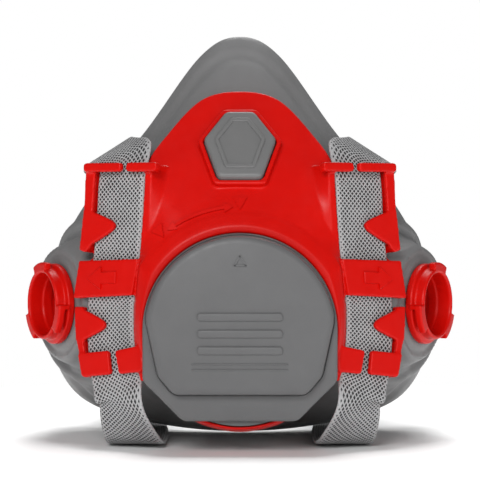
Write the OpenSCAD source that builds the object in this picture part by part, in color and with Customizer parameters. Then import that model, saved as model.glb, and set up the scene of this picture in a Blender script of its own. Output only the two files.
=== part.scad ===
// Half-mask respirator with a twist-off exhalation cover, two bayonet filter ports
// and a drop-down strap harness. Millimetres, +Z up, the wearer's side is +Y.
// The origin is on the ground, under the middle of the whole object.

/* [Facepiece] */
// Height of the valve axis above the ground
valve_z = 40.4; // [39:0.1:42]
// Y of the soft cup's flat front wall, before the bench offset
front_y = -34; // [-36:0.5:-33]
// Radius of the flat front wall
front_r = 25; // [24:0.5:26]
// Thickness of the silicone wall
wall = 2.4; // [2:0.1:2.8]
// Width of the turned-in face seal
seal_w = 14; // [12:0.5:16]

/* [Filter ports] */
// Angle of each port axis away from straight ahead
port_angle = 60; // [56:1:64]
// Outer radius of the port tube
tube_r = 12.1; // [11.5:0.1:12.5]
// Radius of the port's bore
bore_r = 10.6; // [10:0.1:10.8]
// How far the tube stands out of the boss
tube_out = 6.4; // [6:0.1:7]

/* [Valve cover] */
// Radius of the cover's round upper edge
cover_r = 31.1; // [30.6:0.1:31.2]
// Bottom edge of the cover below the valve axis
cover_drop = 29.4; // [28:0.2:30]
// Turn between the closed mark and the open mark
cover_turn = 40; // [30:1:42]

/* [Straps] */
// Width of the elastic webbing
strap_w = 20; // [18:1:20]
// Thickness of the elastic webbing
strap_t = 1.6; // [1.2:0.1:1.8]
// Angle of the strap channels away from facing forward
wing_angle = 37; // [36:1:38]

/* [Hidden] */

RED = "#d8140c";
SILICONE = "#7d7d7d";
COVER = "#6a6a6a";
WEBBING = "#a5a5a5";

bench = [0, -35.3, 0];    // moves the whole model so that the origin is under its middle
around = 48;            // points round each moulded loop
round_fn = 72;

// ---------------------------------------------------------------- curves

function mix(a, b, t) = a + (b - a) * t;
function unit(v) = v / norm(v);
function smooth(t) = let (c = min(1, max(0, t))) c * c * (3 - 2 * c);

// Catmull-Rom curve from b to c, with a and d as its neighbours.
function catmull(a, b, c, d, t) =
    0.5 * (2 * b + (c - a) * t + (2 * a - 5 * b + 4 * c - d) * t * t
           + (3 * b - a - 3 * c + d) * t * t * t);

// The same curve through an open list of knots; s counts knots from 0.
function along(knots, s) =
    let (n = len(knots), i = min(floor(s), n - 2), t = s - i,
         before = i > 0 ? knots[i - 1] : 2 * knots[0] - knots[1],
         after = i < n - 2 ? knots[i + 2] : 2 * knots[n - 1] - knots[n - 2])
    catmull(before, knots[i], knots[i + 1], after, t);

// ---------------------------------------------------------------- soft cup

// Right half of the widest outline, from the nose to the chin:
// [x, z, y where the cup is widest, y of the rear edge, fullness of the side]
outline_knots = [
    [0, 138.6, 8, 16, 1.3], [13.5, 132, 7, 16, 1.4], [33, 106, 9, 20, 2], [54, 81, 12, 30, 2],
    [65.5, 58, 15, 38, 1.7], [67.5, 35, 18, 41, 1.6], [57, 13.5, 20, 39, 1.4], [32, 4.4, 17, 32, 1.3],
    [0, 1.4, 14, 27, 1.2]];
half = len(outline_knots) - 1;

// Knot i of a closed outline whose right half is listed from top to bottom.
function outline_knot(knots, i) =
    let (n = len(knots) - 1, m = i - floor(i / (2 * n)) * 2 * n, k = knots[m <= n ? m : 2 * n - m])
    [for (c = [0:len(k) - 1]) c == 0 && m > n ? -k[0] : k[c]];
function outline(knots, s) =
    let (i = floor(s))
    catmull(outline_knot(knots, i - 1), outline_knot(knots, i), outline_knot(knots, i + 1),
            outline_knot(knots, i + 2), s - i);

seat_hole_r = 15.5;
cup_steps = [0.06, 0.28, 0.52, 0.78, 1];   // share of the way from front wall to outline

// Point towards outline o, at radius r from the valve axis.
function from_axis(o, r, y) = let (e = unit([o.x, o.y - valve_z])) [r * e.x, y, valve_z + r * e.y];
// Point on the cup's side, at share t between the front wall's rim and the outline.
function cup_side(o, t) =
    let (p = from_axis(o, front_r, front_y))
    [mix(p.x, o.x, t), mix(front_y, o.z, pow(t, o[4])), mix(p.z, o.y, t)];
// Point at depth y, inset from the outline towards the valve axis.
function rear(o, inset, y) = from_axis(o, norm([o.x, o.y - valve_z]) - inset, y);

// Knots of the cup's outer profile for outline o, from the valve hole to the edge of the seal.
function cup_profile(o) = concat(
    [from_axis(o, seat_hole_r, front_y), from_axis(o, front_r - 4, front_y)],
    [for (t = cup_steps) cup_side(o, t)],
    [rear(o, 0.3, mix(o.z, o[3], 0.5)), rear(o, 2.2, o[3] - 1.2), rear(o, seal_w * 0.55, o[3] + 0.6),
     rear(o, seal_w, o[3] - 2.4)]);
cup_knots = 11;
function cup(s, v) = along(cup_profile(outline(outline_knots, s)), v);
function share_to_v(t) = lookup(t, [[0, 1.7], [cup_steps[0], 2], [cup_steps[1], 3], [cup_steps[2], 4],
                                    [cup_steps[3], 5], [1, 6]]);
function cup_normal(s, v) =
    let (d = 0.02, lo = max(0, v - d), hi = min(cup_knots - 1, v + d))
    unit(cross(cup(s + d, v) - cup(s - d, v), cup(s, hi) - cup(s, lo)));

// ---------------------------------------------------------------- filter port frame

port_foot = [59, -1, 47.2];       // where the port axis meets the cup
boss_h = 4;
port_axis = [sin(port_angle), -cos(port_angle), 0];

// Brings a point of the cup onto the flat face of the boss round the right-hand port.
function boss_right(p, level) =
    let (rel = p - port_foot, h = rel * port_axis, d = norm(rel - h * port_axis),
         w = h > -14 ? smooth((24.5 - d) / 7) : 0)
    p + port_axis * (level - h) * w;
function mirror_x(p) = [-p.x, p.y, p.z];
function with_boss(p, level) = p.x > 0 ? boss_right(p, level) : mirror_x(boss_right(mirror_x(p), level));

module at_port() {
    translate(port_foot + port_axis * boss_h)
        rotate([0, 0, port_angle]) rotate([90, 0, 0]) children();
}
module mirrored() { mirror([1, 0, 0]) children(); }
module at_valve() { translate([0, front_y, valve_z]) rotate([90, 0, 0]) children(); }
module at_wing() { translate([33, front_y, valve_z]) rotate([0, 0, wing_angle]) rotate([-6, 0, 0]) children(); }
module on_bench() { translate(bench) children(); }

// ---------------------------------------------------------------- lofts

// Closed solid through loops of points. A ring of loops closes on itself; otherwise both ends are capped.
module loft(loops, ring = false) {
    n = len(loops);
    m = len(loops[0]);
    last = ring ? n - 1 : n - 2;
    sides = [for (i = [0:last], j = [0:m - 1])
        let (a = i * m + j, b = i * m + (j + 1) % m, c = ((i + 1) % n) * m + (j + 1) % m, d = ((i + 1) % n) * m + j)
        each [[a, b, c], [a, c, d]]];
    caps = ring ? [] : [[for (j = [m - 1:-1:0]) j], [for (j = [0:m - 1]) (n - 1) * m + j]];
    polyhedron([for (l = loops) each l], concat(sides, caps), convexity = 8);
}

// Ribbon of webbing through stations [centre, direction across the strap].
function ribbon_loops(stations, steps) =
    let (centres = [for (s = stations) s[0]], acrosses = [for (s = stations) s[1]], n = (len(stations) - 1) * steps)
    [for (i = [0:n])
        let (s = i / steps, c = along(centres, s), a = unit(along(acrosses, s)),
             lo = max(0, s - 0.02), hi = min(len(stations) - 1, s + 0.02),
             t = unit(along(centres, hi) - along(centres, lo)), b = unit(cross(t, a)), w = unit(cross(b, t)),
             half_w = w * strap_w / 2, half_t = b * strap_t / 2)
        [c - half_w - half_t, c - half_w + half_t, c + half_w + half_t, c + half_w - half_t]];
module ribbon(stations) { loft(ribbon_loops(stations, 4)); }

// ---------------------------------------------------------------- facepiece

module facepiece() {
    fine = 2;       // loops of the profile for each knot
    rows = floor((cup_knots - 1) * fine);
    vs = [for (i = [0:rows]) i / rows * (cup_knots - 1)];
    loops = [for (j = [0:around - 1])
        let (s = j / around * 2 * half)
        concat([for (v = vs) with_boss(cup(s, v), boss_h)],
               [for (i = [rows:-1:0])
                   let (v = vs[i], t = v > 8 ? mix(wall, 1.6, (v - 8) / 2) : wall)
                   with_boss(cup(s, v) - cup_normal(s, v) * t, boss_h - wall)])];
    color(SILICONE) resize([0, 0, 0]) difference() {
        loft(loops, ring = true);
        for (side = [0, 1]) mirror([side, 0, 0])
            at_port() cylinder(h = 30, r = tube_r + 0.25, center = true, $fn = 48);
    }
}

// ---------------------------------------------------------------- exhalation valve

// Depths in the valve frame are counted forwards from the cup's flat front wall.
seat_flange_r = 19;
flap_r = 14.2;

module exhalation_seat() {
    color(SILICONE) at_valve() {
        difference() {
            union() {
                translate([0, 0, -4.6]) cylinder(h = 6.5, r = seat_hole_r - 0.2, $fn = round_fn);
                translate([0, 0, 0.15]) cylinder(h = 1.75, r = seat_flange_r, $fn = round_fn);
                translate([0, 0, -4.6]) cylinder(h = 2, r = 17.2, $fn = round_fn);
            }
            translate([0, 0, -5]) cylinder(h = 8, r = 12.6, $fn = round_fn);
        }
        for (turn = [0, 60, 120])
            rotate([0, 0, turn]) translate([-12.8, -0.8, 0]) cube([25.6, 1.6, 1.6]);
        cylinder(h = 1.6, r = 3, $fn = round_fn);
        cylinder(h = 5.4, r = 1.1, $fn = round_fn);
    }
}

module exhalation_flap() {
    color("#c9c4b4") at_valve() translate([0, 0, 2.05]) difference() {
        cylinder(h = 0.8, r = flap_r, $fn = round_fn);
        translate([0, 0, -1]) cylinder(h = 3, r = 1.25, $fn = round_fn);
    }
}

// ---------------------------------------------------------------- valve cover

skin_d = 7.6;           // back of the cover's visible plate
plate_t = 3.2;
hood_t = 4.6;
hood_low = -20.6;       // lower edge of the hood, from the valve axis

// Round top with upright sides and two cut corners at the bottom.
module cover_outline() {
    r = cover_r + 0.5;
    cut = 13;
    circle(r = r, $fn = round_fn);
    polygon([[-r, 0], [-r, -cover_drop + cut], [-r + cut, -cover_drop], [r - cut, -cover_drop],
             [r, -cover_drop + cut], [r, 0]]);
}

// The hood fills the round top and narrows to a lip that overhangs the lower part of the plate.
module hood_outline(inset) {
    offset(delta = -inset) intersection() {
        circle(r = cover_r - 0.4, $fn = round_fn);
        polygon([[-32, 32], [-32, 5], [-26.5, -14.5], [-21.4, hood_low], [21.4, hood_low], [26.5, -14.5],
                 [32, 5], [32, 32]]);
    }
}

module valve_cover() {
    front = skin_d + plate_t + hood_t;
    color(COVER) at_valve() difference() {
        union() {
            translate([0, 0, 2.5]) cylinder(h = 5.2, r = cover_r, $fn = round_fn);
            translate([0, 0, skin_d]) linear_extrude(plate_t) cover_outline();
            translate([0, 0, skin_d + plate_t - 0.1]) linear_extrude(hood_t + 0.1) hood_outline(0);
            translate([0, 21, front - 0.1]) linear_extrude(0.7) polygon([[-2.2, 0], [2.2, 0], [0, 3.6]]);
            for (rib = [0:2])
                translate([-14, 2 - 6 * rib, front - 0.1]) cube([28, 2.4, 0.8]);
        }
        translate([0, 0, 2]) cylinder(h = skin_d - 0.6, r = 28.6, $fn = round_fn);
        translate([0, 0, skin_d - 1]) linear_extrude(plate_t + hood_t - 1) hood_outline(2.4);
        translate([-17, hood_low - 1, skin_d + plate_t]) cube([34, 4, 2.6]);
    }
}

// ---------------------------------------------------------------- rigid frame

// Right half of the frame's edge, from top to bottom: [x, z, y, depth of the turned-back edge]
frame_knots = [
    [0, 121, -10.5, 4], [13, 117.5, -12, 4], [24.5, 104.5, -18.5, 7], [31, 94, -26.5, 7], [32.6, 80, -30.5, 4],
    [33.2, 62, -33.5, 2.8], [34.6, 44, -35.2, 2.8], [32.8, 27, -35.4, 2.8], [27.4, 20, -35, 3], [20.2, 14.2, -35, 3],
    [12.5, 9, -35, 3], [0, 6.6, -35, 3]];
socket_r = cover_r + 0.4;
lip_d = 7.2;

function frame_profile(o) =
    let (ro = norm([o.x, o.y - valve_z]), rl = min(38.8, ro - 0.3), yl = front_y - 3.6,
         edge = min(2.2, (ro - socket_r) * 0.6))
    concat(
        [for (p = [[21, 0.3], [21, 2.2], [socket_r - 0.4, 2.2], [socket_r - 0.4, lip_d], [mix(socket_r, rl, 0.5), lip_d],
                   [mix(socket_r, rl, 0.74), lip_d - 1.5]])
            from_axis(o, p[0], front_y - p[1])],
        [for (q = [0, 0.33, 0.66, 1]) from_axis(o, mix(rl, ro, q), mix(yl, o.z, q))],
        [from_axis(o, ro, o.z + o[3]), from_axis(o, ro - edge, o.z + o[3]), from_axis(o, ro - edge, o.z + 2.6)],
        [from_axis(o, mix(mix(socket_r, rl, 0.6), ro - edge, 0.5), mix(yl, o.z, 0.5) + 2.8),
         from_axis(o, mix(socket_r, rl, 0.6), yl + 2.8), from_axis(o, mix(socket_r, rl, 0.2), front_y - 0.3)]);

strap_gap = 0.3;

// One moulded plate of a wing: outline, back and front of it counted forwards from the strap's bed.
module wing_plate(outline, back, front) {
    rotate([90, 0, 0]) translate([0, 0, back]) linear_extrude(front - back) polygon(outline);
}

// Edges of the strap's channel, from top to bottom: [inner side, outer side, height].
channel = [[0.5, 21.5, 60], [0.3, 21.2, 38], [0.4, 21.3, 26], [1.2, 22.1, 14], [1.6, 22.5, 6], [0.5, 21.6, -4],
           [-1.5, 20.1, -12], [-3.7, 18.2, -18], [-7.5, 15, -28]];
function channel_edge(column, first, last) = [for (i = [first:last]) [channel[i][column], channel[i].z]];

module wing() {
    over = strap_t + 2 * strap_gap;
    at_wing() {
        wing_plate([[-8, -17], [20, -17], [24.4, -4], [26.5, 9.1], [25, 21.7], [23.6, 30], [23.6, 46], [-5, 46]],
                   -1.5, 0);
        wing_plate(concat([[0.2, 54.4]], channel_edge(0, 1, 6), [[-3.4, -17], [-8, -17], [-5, 54.4]]),
                   -0.1, over + 0.6);
        wing_plate(concat([[22.2, 52.4]], channel_edge(1, 1, 6),
                          [[18.6, -17], [20, -17], [24.4, -4], [26.5, 9.1], [25, 21.7], [24, 30], [25.2, 52.4]]),
                   -0.1, over + 1.5);
        // band across the strap, with the two pointed tongues above and below it
        wing_plate([[-0.5, 22.8], [25, 21.7], [26.5, 9.1], [1, 10.8]], over, over + 1.9);
        wing_plate([[22.4, 38.6], [9.9, 33.3], [22.4, 26.6]], over, over + 1.6);
        wing_plate([[25.4, 6.4], [11.2, 0.2], [23, -5.2]], over, over + 1.6);
        // bar at the top and plates at the bottom, each split where the strap is threaded in
        wing_plate([[-6, 51.6], [6.8, 51.6], [6.8, 54.4], [-6, 54.4]], over + 0.4, over + 2.3);
        wing_plate([[9, 51.6], [25.2, 51.6], [25.4, 54.4], [9, 54.4]], over + 1.2, over + 2.6);
        wing_plate([[22.6, -9.3], [9.8, -7.7], [8.1, -15.5], [20, -17]], over, over + 1.8);
        wing_plate([[6.8, -7.6], [-2.2, -5.8], [-6.5, -13.8], [4.4, -15.2]], over, over + 1.8);
        wing_plate([[8, 14.6], [14.4, 14.2], [14.3, 12.2], [21, 15.6], [14.7, 20], [14.6, 18], [8.2, 18.4]],
                   over + 1.8, over + 2.5);
    }
}
// The straight length of channel that the strap fills, with room to slide.
module strap_channel() {
    at_wing() wing_plate(concat(channel_edge(0, 0, 8), [for (i = [8:-1:0]) [channel[i][1], channel[i].z]]),
                         -0.3, strap_t + 2 * strap_gap);
}

// Six-sided badge: half its outline is listed from the top.
badge_half = [[4.6, 12], [12, 1.6], [7, -11.4]];
module badge_outline(grow) {
    offset(delta = grow)
        polygon(concat(badge_half, [for (i = [2:-1:0]) [-badge_half[i].x, badge_half[i].y]]));
}
module at_badge() { translate([0, -23.4, 101]) rotate([90 - 33, 0, 0]) children(); }

module harness_frame() {
    loops = [for (j = [0:around - 1])
        let (o = outline(frame_knots, j / around * 2 * (len(frame_knots) - 1)))
        frame_profile(o)];
    color(RED) resize([0, 0, 0]) difference() {
        union() {
            loft(loops, ring = true);
            wing();
            mirrored() wing();
            at_badge() translate([0, 0, -3]) linear_extrude(5.2) badge_outline(1.8);
            for (turn = [0, 42])
                at_valve() rotate([0, 0, turn]) translate([0, 39.8, -1]) linear_extrude(3.6)
                    polygon([[-2, 4], [2, 4], [0, 0]]);
        }
        for (side = [0, 1]) mirror([side, 0, 0]) {
            strap_channel();
            at_port() translate([0, 0, -12]) cylinder(h = 12.6, r = 25.6, $fn = 48);
        }
        at_valve() translate([0, 0, 2.3]) cylinder(h = 20, r = socket_r, $fn = round_fn);
        at_valve() translate([0, 0, lip_d]) cylinder(h = 20, r = 36, $fn = round_fn);
        at_badge() translate([0, 0, -0.9]) linear_extrude(9) badge_outline(0.3);
    }
}

module badge_plate() {
    color(SILICONE) at_badge() {
        translate([0, 0, -0.6]) linear_extrude(3.6) badge_outline(0);
        translate([0, 0, 2.9]) linear_extrude(1) badge_outline(-1);
        translate([0, 0, 3.8]) linear_extrude(0.8) difference() {
            badge_outline(-3);
            badge_outline(-4.2);
        }
    }
}

// ---------------------------------------------------------------- filter ports

lug_r = 14.3;
module port_connector() {
    color(RED) at_port() difference() {
        union() {
            translate([0, 0, -6]) cylinder(h = 6 + tube_out, r = tube_r, $fn = round_fn);
            translate([0, 0, 0.15]) cylinder(h = 2, r = 14.9, $fn = round_fn);
            for (turn = [180, 300, 60])
                rotate([0, 0, turn]) translate([0, 0, tube_out - 2.4]) rotate_extrude(angle = 42, $fn = round_fn)
                    translate([tube_r - 0.4, 0]) square([lug_r - tube_r + 0.4, 2.4]);
        }
        translate([0, 0, -7]) cylinder(h = 20, r = bore_r, $fn = round_fn);
    }
}

// Snaps on the tube inside the cup and carries the inhalation flap on a spoked floor.
module port_ring() {
    color(RED) at_port() {
        difference() {
            union() {
                translate([0, 0, -6]) cylinder(h = 2.4, r = 13.4, $fn = round_fn);
                translate([0, 0, -8.4]) cylinder(h = 3.2, r = 13, $fn = round_fn);
            }
            translate([0, 0, -6.2]) cylinder(h = 5, r = tube_r + 0.1, $fn = round_fn);
            translate([0, 0, -9]) cylinder(h = 5, r = 9, $fn = round_fn);
        }
        for (turn = [0, 90])
            rotate([0, 0, turn]) translate([-9.3, -0.8, -8.4]) cube([18.6, 1.6, 1.6]);
        translate([0, 0, -8.4]) cylinder(h = 1.6, r = 2.6, $fn = round_fn);
        translate([0, 0, -11.6]) cylinder(h = 4, r = 1, $fn = round_fn);
    }
}

module inhalation_flap() {
    color("#c9c4b4") at_port() translate([0, 0, -9.3]) difference() {
        cylinder(h = 0.8, r = 10.4, $fn = round_fn);
        translate([0, 0, -1]) cylinder(h = 3, r = 1.15, $fn = round_fn);
    }
}

// ---------------------------------------------------------------- straps

slot_x = 31.5;          // middle of the cradle's strap slots
ground_z = strap_t / 2 + 0.2;
clip_y = 64;            // where the neck band's clip sits behind the chin
clip_h = 23;

// A point of the wing's strap bed: across, height above the valve axis, forwards.
function wing_point(u, v, h) =
    let (lean = [u, -h * cos(6) + v * sin(6), v * cos(6) + h * sin(6)])
    [33 + lean.x * cos(wing_angle) - lean.y * sin(wing_angle),
     front_y + lean.x * sin(wing_angle) + lean.y * cos(wing_angle), valve_z + lean.z];
bed_h = strap_gap + strap_t / 2;
// Direction across the strap where it lies on the bed, leaning by the given angle.
function wing_lean(angle) = wing_point(cos(angle), sin(angle), 0) - wing_point(0, 0, 0);

front_strap_path = [
    [[34.8, -8, ground_z], [1, 0, 0]],
    [[34.8, -12, 1.1], [1, 0, 0]],
    [[35, -18, 1.4], [1, 0.1, 0]],
    [[36, -25.5, 4], [0.96, 0.25, 0.05]],
    [[37.8, -31, 10], [0.86, 0.45, 0.14]],
    [wing_point(5.2, -24, bed_h), wing_lean(16)],
    [wing_point(7.4, -18, bed_h), wing_lean(14)],
    [wing_point(9.3, -12, bed_h), wing_lean(10)],
    [wing_point(11, -4, bed_h), wing_lean(6)],
    [wing_point(12, 6, bed_h), wing_lean(0)],
    [wing_point(11.6, 14, bed_h), wing_lean(-3)],
    [wing_point(10.8, 26, bed_h), wing_lean(-1)],
    [wing_point(10.7, 38, bed_h), wing_lean(0)],
    [wing_point(10.9, 47, bed_h), wing_lean(0)],
    [wing_point(11, 52, bed_h - 0.5), wing_lean(0)],
    [[38.5, -20.6, 97], [0.8, 0.6, 0.02]],
    [[40.6, -14.3, 99.4], [0.87, 0.4, -0.24]],
    [[44.5, -6, 99], [0.85, 0.04, -0.52]],
    [[44.7, -2, 98.6], [0.84, 0, -0.55]]];

head_strap_path = [
    [[44.7, -1.4, 98.5], [0.84, 0, -0.55]],
    [[44.9, 3, 98.3], [0.84, 0, -0.55]],
    [[46.3, 12, 98], [0.84, 0, -0.55]],
    [[44.4, 25, 94], [0.88, 0, -0.4]],
    [[39.8, 44, 80], [1, 0, -0.1]],
    [[36, 62, 60], [1, 0, 0]],
    [[33, 78, 32], [1, 0, 0]],
    [[slot_x, 87, 12], [1, 0, 0]],
    [[slot_x, 87.9, 0.6], [1, 0, 0]]];

function neck_strap_path(end) = [
    [[34.8, -7.6, ground_z], [1, 0, 0]],
    [[34.8, -3, ground_z], [1, 0, 0]],
    [[35, 8, ground_z], [1, 0, 0]],
    [[36, 28, ground_z], [1, 0, 0]],
    [[37.3, 40, 2.6], [1, 0, 0.1]],
    [[37.6, 48, 8.4], [0.6, 0, 0.8]],
    [[35.5, end.y - 8.5, clip_h / 2], [0.1, 0, 1]],
    [[29.5, end.y - 1.8, clip_h / 2], [0, 0, 1]],
    [[24, end.y, clip_h / 2], [0, 0, 1]],
    [[end.x, end.y, clip_h / 2], [0, 0, 1]]];

module front_strap() { color(WEBBING) ribbon(front_strap_path); }
module head_strap() { color(WEBBING) ribbon(head_strap_path); }
module neck_strap(end) { color(WEBBING) ribbon(neck_strap_path(end)); }

// Moulded crown for the back of the head: two bands that meet in slotted ends, one for each strap.
cradle_y = 96;
module head_cradle() {
    color(COVER) translate([0, cradle_y, 0]) difference() {
        union() {
            linear_extrude(2.4) difference() {
                union() {
                    scale([1, 0.56]) circle(r = 44, $fn = round_fn);
                    for (side = [-1, 1]) translate([side * slot_x - 14, -12]) square([28, 19]);
                }
                translate([0, 4]) scale([1, 0.46]) circle(r = 29, $fn = round_fn);
                translate([0, -20]) scale([1, 0.7]) circle(r = 14, $fn = round_fn);
            }
            for (side = [-1, 1]) translate([side * slot_x - 13, -11, 2.3]) cube([26, 6, 0.9]);
        }
        for (side = [-1, 1]) translate([side * slot_x - 10.6, -9.5, -1]) cube([21.2, 2.8, 6]);
    }
}

// Side-release clip on the neck band. The left strap ends in the socket; the right one runs through
// a loop on the back of the plug, so the plug can be drawn out along it.
strap_slot = [6.6, 2.2, strap_w + 0.6];
module buckle_socket() {
    color(COVER) translate([-21, clip_y - 2.8, 0]) difference() {
        cube([20, 5.6, clip_h]);
        translate([7, 1, 4.3]) cube([14, 3.6, clip_h - 8.6]);
        translate([-1, 1.7, (clip_h - strap_slot.z) / 2]) cube(strap_slot);
        for (low = [-1, clip_h - 3]) translate([9, 1, low]) cube([6, 3.6, 4]);
    }
}

module buckle_plug() {
    color(COVER) translate([0, clip_y - 2.8, 0]) {
        cube([10, 5.6, clip_h]);
        for (arm = [4.7, clip_h - 7.5]) translate([-12, 1.4, arm]) cube([12.5, 2.8, 2.8]);
        translate([-7, 2, clip_h / 2 - 1]) cube([7.5, 1.6, 2]);
        translate([2, 5.5, 0]) difference() {
            cube([5, 4, clip_h]);
            translate([-1, 0.2, (clip_h - strap_slot.z) / 2]) cube([7, 2.4, strap_slot.z]);
        }
    }
}

on_bench() facepiece();
on_bench() harness_frame();
on_bench() badge_plate();
on_bench() exhalation_seat();
on_bench() exhalation_flap();
on_bench() valve_cover();
on_bench() mirrored() port_connector();  // port_connector_left
on_bench() port_connector();  // port_connector_right
on_bench() mirrored() port_ring();  // port_ring_left
on_bench() port_ring();  // port_ring_right
on_bench() mirrored() inhalation_flap();  // inhalation_flap_left
on_bench() inhalation_flap();  // inhalation_flap_right
on_bench() mirrored() front_strap();  // front_strap_left
on_bench() front_strap();  // front_strap_right
on_bench() mirrored() head_strap();  // head_strap_left
on_bench() head_strap();  // head_strap_right
on_bench() head_cradle();
on_bench() mirrored() neck_strap([16, clip_y]);  // neck_strap_left
on_bench() neck_strap([5, clip_y + 4]);  // neck_strap_right
on_bench() buckle_socket();
on_bench() buckle_plug();
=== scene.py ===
"""Half-mask respirator: shapes, materials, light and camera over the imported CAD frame.

Helper functions work in millimetres in the part's own frame (the valve's middle is at x 0, y FRONT_Y,
z VALVE_Z). The mask faces -Y. mesh_object() moves points to the shared frame, in metres.
"""
import math

import bmesh
import bpy
import numpy as np
from mathutils import Matrix, Vector


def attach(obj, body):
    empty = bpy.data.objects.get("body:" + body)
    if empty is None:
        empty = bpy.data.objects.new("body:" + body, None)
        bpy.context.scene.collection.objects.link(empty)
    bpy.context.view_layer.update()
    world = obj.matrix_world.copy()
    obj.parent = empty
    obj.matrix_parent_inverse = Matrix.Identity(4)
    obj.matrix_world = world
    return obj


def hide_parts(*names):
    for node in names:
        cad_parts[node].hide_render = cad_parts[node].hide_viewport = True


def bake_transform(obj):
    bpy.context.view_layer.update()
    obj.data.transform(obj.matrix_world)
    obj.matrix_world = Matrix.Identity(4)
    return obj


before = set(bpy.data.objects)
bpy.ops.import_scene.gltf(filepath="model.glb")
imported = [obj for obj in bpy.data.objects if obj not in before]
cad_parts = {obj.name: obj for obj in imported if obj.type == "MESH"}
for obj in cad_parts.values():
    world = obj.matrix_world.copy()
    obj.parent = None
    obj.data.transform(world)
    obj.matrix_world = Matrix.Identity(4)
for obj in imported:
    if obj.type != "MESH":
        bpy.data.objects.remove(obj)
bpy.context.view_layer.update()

MM = 0.001
BENCH = np.array([0.0, -35.3, 0.0])     # shift from the part's own frame to the shared one
VALVE_Z = 40.4          # height of the valve's axis
FRONT_Y = -34.0         # flat front wall of the cup

# ------------------------------------------------------------------ curves


def unit(v):
    v = np.asarray(v, float)
    return v / np.maximum(np.linalg.norm(v, axis=-1, keepdims=True), 1e-9)


def mix(a, b, t):
    return a + (b - a) * t


def smooth(t):
    t = np.clip(t, 0, 1)
    return t * t * (3 - 2 * t)


def bump(x, middle, half_width):
    """1 at middle, falling smoothly to 0 at half_width away."""
    return smooth(1 - np.abs(x - middle) / half_width)


def catmull(knots, at, closed=False):
    """Smooth curve through knots (listed along axis 0) at positions counted in knots."""
    k = np.asarray(knots, float)
    at = np.asarray(at, float)
    i = np.floor(at).astype(int)
    if closed:
        a, b, c, d = (k[(i + o) % len(k)] for o in (-1, 0, 1, 2))
    else:
        i = np.clip(i, 0, len(k) - 2)
        ends = np.concatenate([[2 * k[0] - k[1]], k, [2 * k[-1] - k[-2]]])
        a, b, c, d = (ends[i + o] for o in range(4))
    t = (at - i).reshape((-1,) + (1,) * (k.ndim - 1))
    return 0.5 * (2 * b + (c - a) * t + (2 * a - 5 * b + 4 * c - d) * t**2
                  + (3 * b - a - 3 * c + d) * t**3)


def outline_loop(half, count):
    """Closed outline from its right half, listed top to bottom. Column 0 is x."""
    half = np.asarray(half, float)
    left = half[-2:0:-1].copy()
    left[:, 0] *= -1
    knots = np.concatenate([half, left])
    return catmull(knots, np.arange(count) * len(knots) / count, closed=True)


def arc(centre, radius, start, end, steps):
    """Points on an arc, angles in degrees."""
    a = np.radians(np.linspace(start, end, steps))
    return np.stack([centre[0] + radius * np.cos(a), centre[1] + radius * np.sin(a)], axis=1)


def fillet(corners, radius, steps=6):
    """Closed polygon with every corner rounded."""
    corners = [np.asarray(c, float) for c in corners]
    out = []
    for i, p in enumerate(corners):
        to_last = unit(corners[i - 1] - p)
        to_next = unit(corners[(i + 1) % len(corners)] - p)
        half = math.acos(float(np.clip(np.dot(to_last, to_next), -1, 1))) / 2
        reach = min(radius / math.tan(half), 0.45 * np.linalg.norm(corners[i - 1] - p),
                    0.45 * np.linalg.norm(corners[(i + 1) % len(corners)] - p))
        a, b = p + to_last * reach, p + to_next * reach
        for t in np.linspace(0, 1, steps):
            out.append((1 - t) ** 2 * a + 2 * t * (1 - t) * p + t**2 * b)
    return np.array(out)


def resample(loop, count):
    """The same closed polygon with evenly spaced points."""
    closed = np.concatenate([loop, loop[:1]])
    lengths = np.concatenate([[0], np.cumsum(np.linalg.norm(np.diff(closed, axis=0), axis=1))])
    at = np.linspace(0, lengths[-1], count, endpoint=False)
    return np.stack([np.interp(at, lengths, closed[:, c]) for c in range(loop.shape[1])], axis=1)


def signed_area(outline):
    x, y = outline[:, 0], outline[:, 1]
    return 0.5 * float(np.sum(x * np.roll(y, -1) - np.roll(x, -1) * y))


def inset(outline, distance):
    """Closed polygon with every side moved inwards by the same distance."""
    outline = np.asarray(outline, float)
    inward = 1 if signed_area(outline) > 0 else -1
    side = unit(np.roll(outline, -1, axis=0) - outline)
    normal = np.column_stack([-side[:, 1], side[:, 0]]) * inward
    last = np.roll(normal, 1, axis=0)
    middle = unit(normal + last)
    stretch = 1 / np.maximum((middle * normal).sum(axis=1, keepdims=True), 0.3)
    return outline + middle * stretch * distance


# ------------------------------------------------------------------ meshes


def mesh_object(name, points, faces, material, uv=None, smooth_angle=40):
    mesh = bpy.data.meshes.new(name)
    placed = (np.asarray(points, float).reshape(-1, 3) + BENCH) * MM
    mesh.from_pydata(placed.tolist(), [], [tuple(int(i) for i in f) for f in faces])
    mesh.materials.append(material)
    if uv is not None:
        layer = mesh.uv_layers.new(name="UVMap")
        corners = np.empty(len(mesh.loops), dtype=np.int64)
        mesh.loops.foreach_get("vertex_index", corners)
        layer.data.foreach_set("uv", np.asarray(uv, float).reshape(-1, 2)[corners].ravel())
    obj = bpy.data.objects.new(name, mesh)
    bpy.context.scene.collection.objects.link(obj)
    finish_mesh(obj, smooth_angle)
    return obj


def finish_mesh(obj, smooth_angle=40):
    """Outward normals, and smooth shading below the given angle."""
    bm = bmesh.new()
    bm.from_mesh(obj.data)
    bmesh.ops.recalc_face_normals(bm, faces=bm.faces)
    bm.to_mesh(obj.data)
    bm.free()
    obj.data.polygons.foreach_set("use_smooth", [True] * len(obj.data.polygons))
    obj.data.set_sharp_from_angle(angle=math.radians(smooth_angle))


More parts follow.
